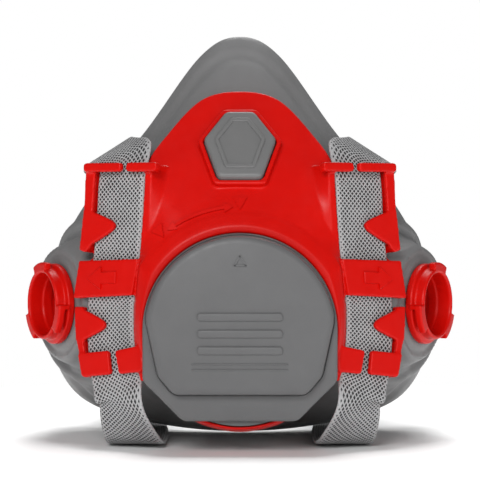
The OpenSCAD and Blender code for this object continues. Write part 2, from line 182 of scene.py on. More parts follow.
def grid_faces(rows, columns, wrap_rows, wrap_columns, start=0):
    r = np.arange(rows if wrap_rows else rows - 1)[:, None]
    c = np.arange(columns if wrap_columns else columns - 1)[None, :]
    r2, c2 = (r + 1) % rows, (c + 1) % columns
    quads = np.stack([r * columns + c, r * columns + c2, r2 * columns + c2, r2 * columns + c], axis=-1)
    return [tuple(q) for q in (quads.reshape(-1, 4) + start).tolist()]


def ring_solid(rows):
    """Closed solid from loops that follow each other round a ring: (points, faces)."""
    rows = np.asarray(rows, float)
    return rows.reshape(-1, 3), grid_faces(rows.shape[0], rows.shape[1], True, True)


def capped_solid(rows):
    """Closed solid from loops stacked in a line, with both ends capped: (points, faces)."""
    rows = np.asarray(rows, float)
    n, m = rows.shape[:2]
    faces = grid_faces(n, m, False, True)
    faces.append(tuple(range(m - 1, -1, -1)))
    faces.append(tuple(range((n - 1) * m, n * m)))
    return rows.reshape(-1, 3), faces


def join(solids):
    """Several (points, faces) as one."""
    points, faces, start = [], [], 0
    for p, f in solids:
        points.append(np.asarray(p, float).reshape(-1, 3))
        faces += [tuple(i + start for i in face) for face in f]
        start += len(points[-1])
    return np.concatenate(points), faces


def moved(solid, place):
    return place(solid[0]), solid[1]


def mirrored(solid):
    """Left-hand copy, with its faces turned so that they still look outwards."""
    p = solid[0].copy()
    p[:, 0] *= -1
    return p, [tuple(reversed(f)) for f in solid[1]]


def prism(outline, low, high, bevel=0.0):
    """Upright prism over a closed 2-D outline, with optional chamfers."""
    outline = np.asarray(outline, float)
    centre = outline.mean(axis=0)
    size = np.linalg.norm(outline - centre, axis=1, keepdims=True)
    inner = centre + (outline - centre) * (1 - bevel / size)
    rows = [(inner, low), (outline, low + bevel), (outline, high - bevel), (inner, high)]
    if bevel == 0:
        rows = [(outline, low), (outline, high)]
    return capped_solid([np.column_stack([o, np.full(len(o), h)]) for o, h in rows])


def stepped(outline, profile):
    """Solid over a closed outline whose sides follow (inset, height) steps from bottom to top."""
    return capped_solid([np.column_stack([inset(outline, i), np.full(len(outline), h)]) for i, h in profile])


def lathe(profile, steps=96, start=0.0, sweep=360.0):
    """Solid of revolution about Z from a closed (radius, height) profile."""
    profile = np.asarray(profile, float)
    whole = sweep >= 360
    a = np.radians(start + np.linspace(0, sweep, steps, endpoint=not whole))
    rows = np.stack([profile[None, :, 0] * np.cos(a)[:, None], profile[None, :, 0] * np.sin(a)[:, None],
                     np.broadcast_to(profile[None, :, 1], (len(a), len(profile)))], axis=-1)
    return ring_solid(rows) if whole else capped_solid(rows)


def rod(radius, low, high):
    """Solid cylinder about Z, used as a cutter."""
    return lathe([(0.01, low), (radius, low), (radius, high), (0.01, high)])


def apply_modifiers(obj):
    """Replaces the object's mesh with the result of its modifiers."""
    bpy.context.view_layer.update()
    graph = bpy.context.evaluated_depsgraph_get()
    mesh = bpy.data.meshes.new_from_object(obj.evaluated_get(graph))
    obj.modifiers.clear()
    obj.data = mesh


def combine(obj, solids, operation):
    """Adds closed solids to an object ("UNION") or cuts them out of it ("DIFFERENCE")."""
    for solid in solids:
        tool = mesh_object(obj.name + "_tool", *solid, obj.data.materials[0])
        boolean = obj.modifiers.new("combine", "BOOLEAN")
        boolean.operation = operation
        boolean.solver = "MANIFOLD"
        boolean.object = tool
        apply_modifiers(obj)
        bpy.data.objects.remove(tool)


def moulded(obj, voxel, passes):
    """Fuses overlapping solids into one skin and rounds its edges like a moulding."""
    remesh = obj.modifiers.new("fuse", "REMESH")
    remesh.mode = "VOXEL"
    remesh.voxel_size = voxel * MM
    soften = obj.modifiers.new("soften", "SMOOTH")
    soften.factor = 0.5
    soften.iterations = passes
    apply_modifiers(obj)
    obj.data.polygons.foreach_set("use_smooth", [True] * len(obj.data.polygons))


# ------------------------------------------------------------------ local frames

PORT_FOOT = np.array([59.0, -1.0, 47.2])
PORT_ANGLE = 60.0       # how far each port is turned out from straight ahead
BOSS_H = 4.0            # flat boss on the cup, along the port's axis
PORT_AXIS = np.array([math.sin(math.radians(PORT_ANGLE)), -math.cos(math.radians(PORT_ANGLE)), 0])
WING_X = 33.0
WING_ANGLE = 37.0       # how far each wing is turned back
WING_LEAN = 6.0         # and how far its top leans back
BADGE_MIDDLE = [0, -23.4, 101]
BADGE_TILT = 57


def turn(angle, axis):
    return np.array(Matrix.Rotation(math.radians(angle), 3, axis))


def placed(origin, *rotations):
    """Function that moves local points: rotations are applied last to first, then the origin."""
    r = np.eye(3)
    for m in rotations:
        r = r @ m
    return lambda p: np.asarray(p, float) @ r.T + np.asarray(origin, float)


at_valve = placed([0, FRONT_Y, VALVE_Z], turn(90, "X"))
at_port = placed(PORT_FOOT + PORT_AXIS * BOSS_H, turn(PORT_ANGLE, "Z"), turn(90, "X"))
at_wing = placed([WING_X, FRONT_Y, VALVE_Z], turn(WING_ANGLE, "Z"), turn(-WING_LEAN, "X"), turn(90, "X"))
at_badge = placed(BADGE_MIDDLE, turn(BADGE_TILT, "X"))

# ------------------------------------------------------------------ materials


class Nodes:
    """A material's node tree, with one short method per kind of node used here."""

    def __init__(self, name, roughness=0.5, subsurface=0.0):
        self.material = bpy.data.materials.new(name)
        self.material.use_nodes = True
        self.tree = self.material.node_tree
        self.shader = self.tree.nodes["Principled BSDF"]
        self.shader.inputs["Roughness"].default_value = roughness
        self.shader.inputs["Subsurface Weight"].default_value = subsurface
        self.shader.inputs["Subsurface Radius"].default_value = (0.002, 0.002, 0.002)

    def add(self, kind, **values):
        """New node. Each value sets the attribute or the input of that name."""
        node = self.tree.nodes.new(kind)
        for key, value in values.items():
            if hasattr(node, key):
                setattr(node, key, value)
            else:
                node.inputs[key.replace("_", " ")].default_value = value
        return node

    def link(self, source, target):
        self.tree.links.new(source, target)
        return source

    def coordinates(self, kind="Object"):
        return self.add("ShaderNodeTexCoord").outputs[kind]

    def noise(self, size_mm, detail=4.0, roughness=0.6):
        """Noise with features of about the given size."""
        node = self.add("ShaderNodeTexNoise", Scale=1 / (size_mm * MM), Detail=detail, Roughness=roughness)
        self.link(self.coordinates(), node.inputs["Vector"])
        return node.outputs["Fac"]

    def math(self, operation, a, b=0.0):
        node = self.add("ShaderNodeMath", operation=operation)
        for slot, value in zip(node.inputs, (a, b)):
            if isinstance(value, (int, float)):
                slot.default_value = value
            else:
                self.link(value, slot)
        return node.outputs[0]

    def span(self, value, low, high, out_low, out_high):
        """Maps low..high to out_low..out_high, held at both ends."""
        node = self.add("ShaderNodeMapRange")
        self.link(value, node.inputs["Value"])
        limits = {"From Min": low, "From Max": high, "To Min": out_low, "To Max": out_high}
        for key, number in limits.items():
            node.inputs[key].default_value = number
        return node.outputs["Result"]

    def blend(self, fac, a, b):
        """Mixes two colours, each a tuple or an output."""
        node = self.add("ShaderNodeMix", data_type="RGBA")
        self.link(fac, node.inputs["Factor"])
        for slot, value in ((node.inputs[6], a), (node.inputs[7], b)):
            if isinstance(value, tuple):
                slot.default_value = (*value, 1)
            else:
                self.link(value, slot)
        return node.outputs[2]

    def colour(self, value):
        self.link(value, self.shader.inputs["Base Color"])

    def rough(self, value):
        self.link(value, self.shader.inputs["Roughness"])

    def relief(self, height, depth_mm, after=None):
        """Bump of the given depth for a height that runs from 0 to 1."""
        node = self.add("ShaderNodeBump", Distance=depth_mm * MM, Strength=1.0)
        self.link(height, node.inputs["Height"])
        if after is not None:
            self.link(after, node.inputs["Normal"])
        self.link(node.outputs["Normal"], self.shader.inputs["Normal"])
        return node.outputs["Normal"]


def plastic(name, dark, light, roughness, grain_mm, grain_depth, subsurface=0.0, wave_depth=0.0,
            specular=0.4):
    """Moulded plastic or rubber: a slightly uneven colour, a surface grain and patchy roughness."""
    n = Nodes(name, roughness, subsurface=subsurface)
    n.shader.inputs["Specular IOR Level"].default_value = specular
    n.colour(n.blend(n.noise(9, 5), dark, light))
    n.rough(n.span(n.noise(4, 6), 0.3, 0.7, roughness - 0.06, roughness + 0.07))
    broad = n.relief(n.noise(16, 2), wave_depth) if wave_depth else None
    n.relief(n.noise(grain_mm, 3, 0.7), grain_depth, broad)
    return n.material


SILICONE = plastic("silicone", (0.155, 0.155, 0.157), (0.185, 0.185, 0.186), 0.46, 0.55, 0.035,
                   subsurface=0.04, wave_depth=0.25)
RED = plastic("red_plastic", (0.52, 0.0025, 0.001), (0.61, 0.004, 0.0015), 0.36, 0.5, 0.010,
              wave_depth=0.15, specular=0.16)
GREY = plastic("grey_plastic", (0.088, 0.088, 0.090), (0.108, 0.108, 0.110), 0.44, 0.35, 0.03)
BADGE = plastic("badge_plastic", (0.135, 0.135, 0.135), (0.158, 0.158, 0.158), 0.42, 0.35, 0.02)
VALVE = plastic("valve_rubber", (0.55, 0.51, 0.41), (0.62, 0.58, 0.48), 0.5, 0.5, 0.02, subsurface=0.1)


KNIT_ROW = 1.66         # pitch of the knit along the webbing
KNIT_STITCH = 1.7       # and across it


def webbing():
    """Knitted elastic. UV x runs across the band and y along it, both in millimetres."""
    n = Nodes("webbing", 0.9)
    split = n.add("ShaderNodeSeparateXYZ")
    n.link(n.coordinates("UV"), split.inputs[0])
    across, along = split.outputs[0], split.outputs[1]
    wobble = n.math("MULTIPLY", n.math("SUBTRACT", n.noise(3, 3), 0.5), 1.6)
    rise = n.math("ADD", n.math("MULTIPLY", along, 2 * math.pi / KNIT_ROW), wobble)
    lean = n.math("MULTIPLY", across, 2 * math.pi / KNIT_STITCH)
    one = n.math("SINE", n.math("ADD", rise, lean))
    two = n.math("SINE", n.math("SUBTRACT", rise, lean))
    stitch = n.math("ADD", n.math("MULTIPLY", n.math("MAXIMUM", one, two), 0.5), 0.5)
    fibre = n.noise(0.22, 3)
    thread = n.blend(fibre, (0.30, 0.30, 0.305), (0.50, 0.50, 0.505))
    # the knit opens up in patches, and closes towards the selvedges
    patch = n.span(n.noise(14, 2), 0.35, 0.65, 0.60, 0.78)
    edge = n.span(n.math("ABSOLUTE", across), 8.2, 9.6, 1.0, 0.25)
    opening = n.math("MULTIPLY", patch, edge)
    # the knit's openings are painted near-black: painted shade seen through the webbing
    shaded_hole = n.span(n.math("SUBTRACT", stitch, opening), -0.10, 0.12, 0.0, 1.0)
    n.colour(n.blend(shaded_hole, (0.014, 0.014, 0.015), thread))
    n.relief(n.math("ADD", stitch, n.math("MULTIPLY", fibre, 0.3)), 0.3)
    return n.material


WEBBING = webbing()

# ------------------------------------------------------------------ silicone cup

# Right half of the widest outline, nose to chin: x, z, y where the cup is widest, y of the rear edge,
# and how full the side is.
CUP_OUTLINE = [
    [0, 138.6, 8, 16, 1.3], [13.5, 132, 7, 16, 1.4], [33, 106, 9, 20, 2], [54, 81, 12, 30, 2],
    [65.5, 58, 15, 38, 1.7], [67.5, 35, 18, 41, 1.6], [57, 13.5, 20, 39, 1.4], [32, 4.4, 17, 32, 1.3],
    [0, 1.4, 14, 27, 1.2]]
CUP_STEPS = [0.06, 0.28, 0.52, 0.78, 1]     # where the cup's side has its knots, front to widest
FRONT_R = 25.0          # flat round front
SEAT_HOLE_R = 15.5
SEAL_W = 14.0           # width of the turned-in face seal
SEAL_T = 1.6
WALL = 2.4
TUBE_HOLE_R = 12.35
THIN_FROM = 8           # loop from which the wall thins towards the seal's inner edge


def from_axis(outline, radius, y):
    """Points towards each outline point, at a radius from the valve's axis and a depth y."""
    outward = unit(np.stack([outline[:, 0], outline[:, 1] - VALVE_Z], axis=1))
    radius, y = np.broadcast_to(radius, len(outline)), np.broadcast_to(y, len(outline))
    return np.stack([radius * outward[:, 0], y, VALVE_Z + radius * outward[:, 1]], axis=1)


def reach_of(outline):
    """Distance of each outline point from the valve's axis."""
    return np.hypot(outline[:, 0], outline[:, 1] - VALVE_Z)


def cup_knots(outline):
    """Loops from the valve's hole, over the front and side, round to the inner edge of the seal."""
    x, z, wide_y, rear_y, fullness = outline.T
    front = from_axis(outline, FRONT_R, FRONT_Y)
    sides = []
    for t in CUP_STEPS:
        y = mix(FRONT_Y, wide_y, t ** fullness)
        sides.append(np.stack([mix(front[:, 0], x, t), y, mix(front[:, 2], z, t)], axis=1))
    reach = reach_of(outline)
    return np.stack([
        from_axis(outline, SEAT_HOLE_R, FRONT_Y),
        from_axis(outline, FRONT_R - 4, FRONT_Y),
        *sides,
        from_axis(outline, reach - 0.3, mix(wide_y, rear_y, 0.5)),
        from_axis(outline, reach - 2.2, rear_y - 1.2),
        from_axis(outline, reach - SEAL_W * 0.55, rear_y + 0.6),
        from_axis(outline, reach - SEAL_W, rear_y - 2.4)])


def cup_normals(surface):
    """Outward direction at each point of the smooth cup."""
    round_way = np.roll(surface, -1, axis=1) - np.roll(surface, 1, axis=1)
    return unit(np.cross(np.gradient(surface, axis=0), round_way)) * -1


def port_polar(p, side):
    """Height along the port's axis and distance from it."""
    rel = (p * [side, 1, 1]) - PORT_FOOT
    h = rel @ PORT_AXIS
    return h, np.linalg.norm(rel - h[..., None] * PORT_AXIS, axis=-1)


def with_bosses(p, inside):
    """Raises the flat round boss of each port, with its moulded rings, out of the cup."""
    for side in (1, -1):
        h, d = port_polar(p, side)
        own_side = (h > -14) * (p[..., 0] * side > 0)
        weight = smooth((25 - d) / 8.5) * own_side
        # a raised ring, with a shallow groove inside it
        level = BOSS_H + 2.0 * bump(d, 20.0, 2.8) - 0.8 * bump(d, 16.8, 1.6)
        if inside:
            level = BOSS_H - WALL
        axis = PORT_AXIS * [side, 1, 1]
        p = p + axis * ((level - h) * weight)[..., None]
        if not inside:
            # a fold in the silicone round the boss
            fold = 1.7 * bump(d, 28.2, 3.0)
            p = p + axis * (fold * own_side)[..., None]
    return p


def make_facepiece():
    knots = cup_knots(outline_loop(CUP_OUTLINE, 288))
    v = np.linspace(0, len(knots) - 1, 190)
    smooth_cup = catmull(knots, v)
    normal = cup_normals(smooth_cup)
    thin = mix(WALL, SEAL_T, (v - THIN_FROM) / 2)
    thickness = np.where(v > THIN_FROM, thin, WALL)[:, None, None]
    # a shallow groove marks where the seal's rolled edge begins
    groove = (bump(v, 5.55, 0.22) * 0.7)[:, None, None]
    outer = with_bosses(smooth_cup - normal * groove, False)
    inner = with_bosses(smooth_cup - normal * thickness, True)
    points, faces = ring_solid(np.concatenate([outer, inner[::-1]]))
    cup = mesh_object("face_cup", points, faces, SILICONE, smooth_angle=60)
    right = moved(rod(TUBE_HOLE_R, -20, 20), at_port)
    combine(cup, [right, mirrored(right)], "DIFFERENCE")
    finish_mesh(cup, 50)
    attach(cup, "mask")
    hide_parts("facepiece")


# ------------------------------------------------------------------ red frame

# Right half of the frame's edge, top to bottom: x, z, y, and how far its edge is turned back.
FRAME_OUTLINE = [
    [0, 119.6, -11, 4], [13, 116.6, -12.4, 4], [24.5, 104.5, -18.5, 7], [31, 94, -26.5, 7],
    [32.6, 80, -30.5, 4], [33.2, 62, -33.5, 2.8], [34.6, 44, -35.2, 2.8], [32.8, 27, -35.4, 2.8],
    [27.4, 20, -35, 3], [20.2, 14.2, -35, 3], [12.5, 9, -35, 3], [0, 6.6, -35, 3]]
SOCKET_R = 31.5         # round socket that the cover turns in
LIP_R = 38.8            # outer radius of the lip about it
LIP_D = 7.2             # and its greatest depth in front of the cup
LIP_Y = FRONT_Y - 3.6   # where the web leaves the lip
SHEET = 2.2             # floor of the socket
# The round lip about the cover: share of the way outwards, and depth in front of the cup's flat wall.
LIP_CURVE = [(0, 5.9), (0.03, 6.6), (0.1, 7.1), (0.2, 7.2), (0.34, 6.95), (0.5, 6.3), (0.66, 5.5),
             (0.82, 4.7), (0.93, 4.0)]
OVER = 2.2              # height of the strap's channel above its bed
BED_BACK = -1.5         # back of the bed
RAIL_BACK = -0.4
WING_LOW = -17
WING_TOP = 54.4
BAR_TOP = 54.6
# The strap's channel in the wing's own plane: inner edge, outer edge, and height above the valve.
CHANNEL = np.array([[-7.5, 15, -28], [-3.7, 18.2, -18], [-1.5, 20.1, -12], [0.5, 21.6, -4],
                    [1.6, 22.5, 6], [1.2, 22.1, 14], [0.4, 21.3, 26], [0.3, 21.2, 38], [0.5, 21.5, 60]])


def frame_rows():
    """Loops round the frame's section: socket floor, lip, web, turned-back edge, and the back."""
    outline = outline_loop(FRAME_OUTLINE, 240)
    edge_y, turned_back = outline[:, 2], outline[:, 3]
    edge = reach_of(outline)
    lip = np.minimum(LIP_R, edge - 0.3)
    inner = edge - np.minimum(2.2, (edge - SOCKET_R) * 0.6)
    lip_back = mix(SOCKET_R, lip, 0.6)
    loops = [(21, FRONT_Y - 0.3), (21, FRONT_Y - SHEET), (SOCKET_R, FRONT_Y - SHEET)]
    loops += [(mix(SOCKET_R, lip, share), FRONT_Y - depth) for share, depth in LIP_CURVE]
    loops += [(mix(lip, edge, share), mix(LIP_Y, edge_y, share)) for share in np.linspace(0, 1, 12)]
    loops += [(edge, edge_y + turned_back),
              (inner, edge_y + turned_back),
              (inner, edge_y + 2.6),
              (mix(lip_back, inner, 0.5), mix(LIP_Y, edge_y, 0.5) + 2.8),
              (lip_back, LIP_Y + 2.8),
              (mix(SOCKET_R, lip, 0.2), FRONT_Y - 0.3)]
    return np.array([from_axis(outline, radius, y) for radius, y in loops])


def web_y(x, z):
    """Depth of the frame's front skin at each (x, z) outside the round lip."""
    outline = outline_loop(FRAME_OUTLINE, 240)
    edge = reach_of(outline)
    angle = np.arctan2(outline[:, 0], outline[:, 1] - VALVE_Z)
    order = np.argsort(angle)
    at = np.arctan2(x, z - VALVE_Z)
    reach = np.interp(at, angle[order], edge[order])
    deep = np.interp(at, angle[order], outline[order, 2])
    share = np.clip((np.hypot(x, z - VALVE_Z) - LIP_R) / (reach - LIP_R), 0, 1)
    return mix(LIP_Y, deep, share)


def wing_plate(outline, back, front, radius=0.8):
    """Flat plate of the wing, given in the wing's own plane: across, and height above the valve."""
    return moved(prism(fillet(outline, radius), back, front), at_wing)


def slope():
    """Blends the web into the inner side of the strap's channel."""
    rows = []
    for v in np.linspace(WING_LOW, WING_TOP, 60):
        edge = np.interp(v, CHANNEL[:, 2], CHANNEL[:, 0]) + 0.3
        reach = edge - mix(15, 3.6, smooth((v - 30) / 24))
        foot = at_wing([reach, v, 0])
        # beside the cover the slope runs in under the round lip
        level = FRONT_Y - 1.0 if foot[2] < 50 else web_y(foot[0], foot[2])
        low = -(level - foot[1]) / math.cos(math.radians(WING_ANGLE))
        fall = [[mix(edge - 3, reach, t), v, mix(OVER - 0.3, low - 0.4, 1 - (1 - t) ** 1.4)]
                for t in np.linspace(0, 1, 10)]
        rows.append([[reach, v, low - 1.4], [edge, v, -0.5], [edge, v, OVER - 0.5],
                     [edge - 0.8, v, OVER], *fall])
    return moved(capped_solid(rows), at_wing)


def wing_bed_and_rail():
    """Bed behind the strap, and the rail in three lengths on its outer side."""
    bed = [[-4.6, WING_LOW], [20, WING_LOW], [24.2, -5], [24.8, 6], [23.2, 7.4], [26.5, 9.1], [25, 21.7],
           [22.4, 23], [22.2, 27], [23.6, 30], [23.6, 46], [-0.4, 46], [-0.4, -4]]
    low = [[17.6, WING_LOW], [20, WING_LOW], [24.4, -4], [25.6, 6.4], [22.2, 6.4], [21, -6]]
    middle = [[22, 9.4], [26.5, 9.1], [25, 21.7], [21.4, 21.9]]
    high = [[21, 26.6], [22.8, 24.6], [26, 25.4], [24.4, 30], [25.2, WING_TOP], [21, WING_TOP]]
    post = [[21, 44], [24.6, 44], [25, WING_TOP], [21.4, WING_TOP]]
    return [
        wing_plate(bed, BED_BACK, 0, 0.4),
        slope(),
        wing_plate(low, RAIL_BACK, OVER + 1.5),
        wing_plate(middle, RAIL_BACK, OVER + 1.2),
        wing_plate(high, RAIL_BACK, OVER + 1.5, 1.0),
        wing_plate(post, BED_BACK, OVER)]


def wing_bridges():
    """Everything that lies over the strap; the bar and the low plates are split to thread it in."""
    band = [[-0.5, 22.8], [25, 21.7], [26.5, 9.1], [1, 10.8]]
    tongues = [
        [[24.8, 39.2], [22.4, 38.8], [7.6, 34], [22.6, 26.2], [25.4, 26.2]],
        [[26, 6.4], [24.6, 6.4], [8.8, 0.8], [22.6, -5.4], [24.4, -5]]]
    bar_in = [[-6, 51.6], [6.8, 51.6], [6.8, BAR_TOP], [-6, BAR_TOP]]
    bar_out = [[9, 51.6], [25.2, 51.6], [25.4, BAR_TOP], [9, BAR_TOP]]
    plate_out = [[23, -9.3], [9.8, -7.7], [8.1, -15.5], [20.4, -17]]
    plate_in = [[6.8, -7.6], [-2.6, -5.7], [-6.9, -13.7], [4.4, -15.2]]
    return [
        wing_plate(band, OVER, OVER + 1.9, 0.6),
        *(wing_plate(tongue, OVER, OVER + 1.6, 3.2) for tongue in tongues),
        wing_plate(bar_in, OVER - 0.4, OVER + 2.3, 1.2),
        wing_plate(bar_out, OVER + 0.6, OVER + 2.6, 1.2),
        wing_plate(plate_out, OVER, OVER + 1.8, 1.0),
        wing_plate(plate_in, OVER - 0.4, OVER + 1.8, 1.0)]


def make_frame():
    badge_pad = moved(prism(fillet(badge_outline(1.8), 2.5), -3, SHEET), at_badge)
    right = wing_bed_and_rail() + wing_bridges()
    shell = mesh_object("frame_shell", *ring_solid(frame_rows()), RED)
    combine(shell, [badge_pad, *right, *(mirrored(s) for s in right)], "UNION")
    edges = np.concatenate([CHANNEL[:, [0, 2]], CHANNEL[::-1, [1, 2]]])
    channel = moved(prism(edges, 0, OVER), at_wing)
    port_room = moved(rod(23.5, -12, -1), at_port)
    # the cutter widens in front of the lip, so that the wings leave room for the cover
    socket = moved(lathe([(0.01, SHEET), (SOCKET_R, SHEET), (SOCKET_R, LIP_D - 0.4), (36, LIP_D),
                          (36, 22), (0.01, 22)]), at_valve)
    badge_room = moved(prism(fillet(badge_outline(0.3), 2.2), -0.9, 8), at_badge)
    cutters = [channel, mirrored(channel), port_room, mirrored(port_room), socket, badge_room]
    combine(shell, cutters, "DIFFERENCE")
    moulded(shell, 0.4, 3)
    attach(shell, "mask")
    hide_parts("harness_frame")


MARK_R = 40.2           # the marks lie on an arc about the valve's axis
MARK_LIFT = 0.7
MARK_ANGLES = (0, 39.5)     # closed and open


def web_mark(outline):
    """A raised mark that follows the web; its outline is given about the valve's axis."""
    outline = np.asarray(outline, float)
    x, z = outline[:, 0], outline[:, 1] + VALVE_Z
    face = web_y(x, z)
    rows = [np.column_stack([x, face + sink, z]) for sink in (1.0, 0.1 - MARK_LIFT, -MARK_LIFT)]
    return capped_solid(rows)


def on_ring(radius, angle):
    """Point at a radius and an angle about the valve's axis."""
    return [radius * math.cos(math.radians(angle)), radius * math.sin(math.radians(angle))]


def make_frame_marks():
    """Turning marks for the cover: two solid triangles, and a two-headed arrow between them."""
    solids = []
    triangle = np.array([[-2.3, 3.0], [2.3, 3.0], [0, -1.0]])
    for angle in MARK_ANGLES:
        spin = turn(angle, "Z")[:2, :2]
        solids.append(web_mark((triangle + [0, MARK_R]) @ spin.T))
    start, end = 97.5, 122.0
    outer = arc((0, 0), MARK_R + 0.45, start, end, 24)
    inner = arc((0, 0), MARK_R - 0.45, end, start, 24)
    solids.append(web_mark(np.concatenate([outer, inner])))
    for foot, nose in ((start, start - 4.2), (end, end + 4.2)):
        solids.append(web_mark([on_ring(MARK_R + 1.5, foot), on_ring(MARK_R, nose),
                                on_ring(MARK_R - 1.5, foot)]))
    # the arrow on each band points outwards
    arrow = [[8, 14.6], [14.4, 14.2], [14.3, 12.2], [20.4, 15.6], [14.7, 20], [14.6, 18], [8.2, 18.4]]
    raised = moved(prism(fillet(arrow, 0.3), OVER + 1.4, OVER + 2.4, 0.15), at_wing)
    solids += [raised, mirrored(raised)]
    marks = mesh_object("frame_marks", *join(solids), RED, smooth_angle=35)
    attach(marks, "mask")


# Right half of the badge's outline, from the top.
BADGE_HALF = np.array([[4.7, 11.4], [12, 0.2], [7.2, -15]])


def badge_outline(grow):
    left = BADGE_HALF[::-1] * [-1, 1]
    return inset(np.concatenate([BADGE_HALF, left]), -grow)


def make_badge():
    outline = fillet(badge_outline(0), 2.6, 8)
    body = stepped(outline, [(0.3, -0.6), (0, -0.3), (0, 3.0), (0.25, 3.45), (0.7, 3.75), (1.2, 3.85)])
    raised = stepped(fillet(badge_outline(-3.2), 1.6, 8),
                     [(0, 3.6), (0, 4.25), (0.25, 4.45), (1.1, 4.45), (1.35, 4.25), (1.4, 3.9)])
    badge = mesh_object("badge_face", *moved(join([body, raised]), at_badge), BADGE, smooth_angle=35)
    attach(badge, "mask")
    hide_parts("badge_plate")


# ------------------------------------------------------------------ valve cover

COVER_R = 31.1          # spigot in the frame's socket
COVER_DROP = 29.4       # flat lower edge, below the axis
SKIN_D = 7.6            # back of the plate, in front of the cup
PLATE_T = 3.2
PLATE_TOP = SKIN_D + PLATE_T
HOOD_T = 4.6
HOOD_TOP = PLATE_TOP + HOOD_T
HOOD_LOW = -20.6


def cover_outline():
    """Round above, with a flat lower edge and two cut corners."""
    r = COVER_R + 0.5
    cut_corner = 13
    lower = fillet([[r, 4], [r, -COVER_DROP + cut_corner], [r - cut_corner, -COVER_DROP],
                    [-r + cut_corner, -COVER_DROP], [-r, -COVER_DROP + cut_corner], [-r, 4]], 4, 8)
    lower = lower[(lower[:, 1] < 0)]
    return resample(np.concatenate([arc((0, 0), r, 0, 180, 90), lower[::-1]]), 320)


def hood_outline():
    """Round above, narrowing to the mouth below."""
    r = COVER_R - 0.4
    top = arc((0, 0), r, 9.5, 170.5, 100)
    side = fillet([[-r, 5], [-26.5, -14.5], [-21.4, HOOD_LOW], [21.4, HOOD_LOW], [26.5, -14.5], [r, 5],
                   [0, 40]], 4.5, 8)
    side = side[side[:, 1] < 3]
    return resample(np.concatenate([top, side]), 320)


def raised_ring(outline, width, low, high):
    """A raised line that follows a closed outline on its inner side."""
    inner = inset(outline, width)
    level = [(outline, low), (outline, high), (inner, high), (inner, low)]
    return ring_solid(np.array([np.column_stack([o, np.full(len(o), h)]) for o, h in level]))


def make_cover():
    plate = stepped(cover_outline(), [(0.3, SKIN_D), (0, SKIN_D + 0.3), (0, PLATE_TOP - 0.9),
                                      (0.3, PLATE_TOP - 0.3), (1.0, PLATE_TOP)])
    hood = stepped(hood_outline(), [(0.5, PLATE_TOP - 0.4), (0, PLATE_TOP + 0.1), (0, HOOD_TOP - 1.7),
                                    (0.35, HOOD_TOP - 0.8), (1.1, HOOD_TOP - 0.3), (2.4, HOOD_TOP)])
    spigot = lathe([(28.6, 2.5), (COVER_R - 0.4, 2.5), (COVER_R, 2.9), (COVER_R, SKIN_D + 0.5),
                    (28.6, SKIN_D + 0.5)], 160)
    cover = mesh_object("cover_hood", *moved(join([plate, hood, spigot]), at_valve), GREY, smooth_angle=35)
    vent = stepped(inset(hood_outline(), 2.4), [(0, SKIN_D + 1), (0, HOOD_TOP - 2)])
    mouth = prism([[-17, HOOD_LOW - 2], [17, HOOD_LOW - 2], [17, HOOD_LOW + 4], [-17, HOOD_LOW + 4]],
                  PLATE_TOP, PLATE_TOP + 2.4)
    # a fine groove sets the hood off from the plate
    groove = raised_ring(inset(hood_outline(), -0.5), 0.55, PLATE_TOP - 0.8, PLATE_TOP + 0.6)
    combine(cover, [moved(s, at_valve) for s in (vent, mouth, groove)], "DIFFERENCE")
    finish_mesh(cover, 35)
    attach(cover, "cover")
    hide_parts("valve_cover")


def round_bar(reach, low, height, radius, steps):
    """Outline of a round-ended bar across the cover."""
    high = low + height
    return fillet([[-reach, low], [reach, low], [reach, high], [-reach, high]], radius, steps)


def make_cover_marks():
    """Three plain ribs with a double line below them, and a small triangle above."""
    marks = []
    rib_profile = [(0, HOOD_TOP - 0.4), (0, HOOD_TOP + 0.45), (0.3, HOOD_TOP + 0.7), (0.6, HOOD_TOP + 0.75)]
    for i in range(3):
        marks.append(stepped(round_bar(13.8, 3.4 - 5.4 * i, 2.6, 1.25, 6), rib_profile))
    line_profile = [(0, HOOD_TOP - 0.4), (0, HOOD_TOP + 0.15), (0.12, HOOD_TOP + 0.28)]
    for low in (-10.9, -12.6):
        marks.append(stepped(round_bar(15.5, low, 0.6, 0.25, 4), line_profile))
    triangle = fillet([[-2.3, 21], [2.3, 21], [0, 24.8]], 0.3, 4)
    marks.append(raised_ring(triangle, 0.55, HOOD_TOP - 0.3, HOOD_TOP + 0.35))
    emboss = mesh_object("cover_marks", *moved(join(marks), at_valve), GREY, smooth_angle=35)
    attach(emboss, "cover")


# ------------------------------------------------------------------ filter ports

# Sections of the tube, of a lug, and of the stop at a lug's start: radius, and height above the boss.
TUBE = [(10.6, -6), (11.9, -6), (12.1, -5.8), (12.1, 0.15), (13.5, 0.15), (13.8, 0.6), (13.8, 2.3),
        (13.5, 2.7), (12.6, 2.8), (12.1, 3.2), (12.1, 5.7), (11.9, 6.2), (11.5, 6.4), (11.0, 6.35),
        (10.7, 6.0), (10.6, 5.4), (10.6, 1.2), (10.2, 0.8), (10.2, -2.2), (10.6, -2.6)]
LUG = [(11.4, 4.0), (14.1, 4.0), (14.3, 4.2), (14.3, 6.0), (14.0, 6.35), (11.4, 6.4)]
STOP = [(12.0, 2.0), (14.2, 2.0), (14.2, 4.2), (12.0, 4.2)]
LUG_STARTS = (180, 300, 60)     # degrees round the tube
LUG_SWEEP = 42
STOP_SWEEP = 6


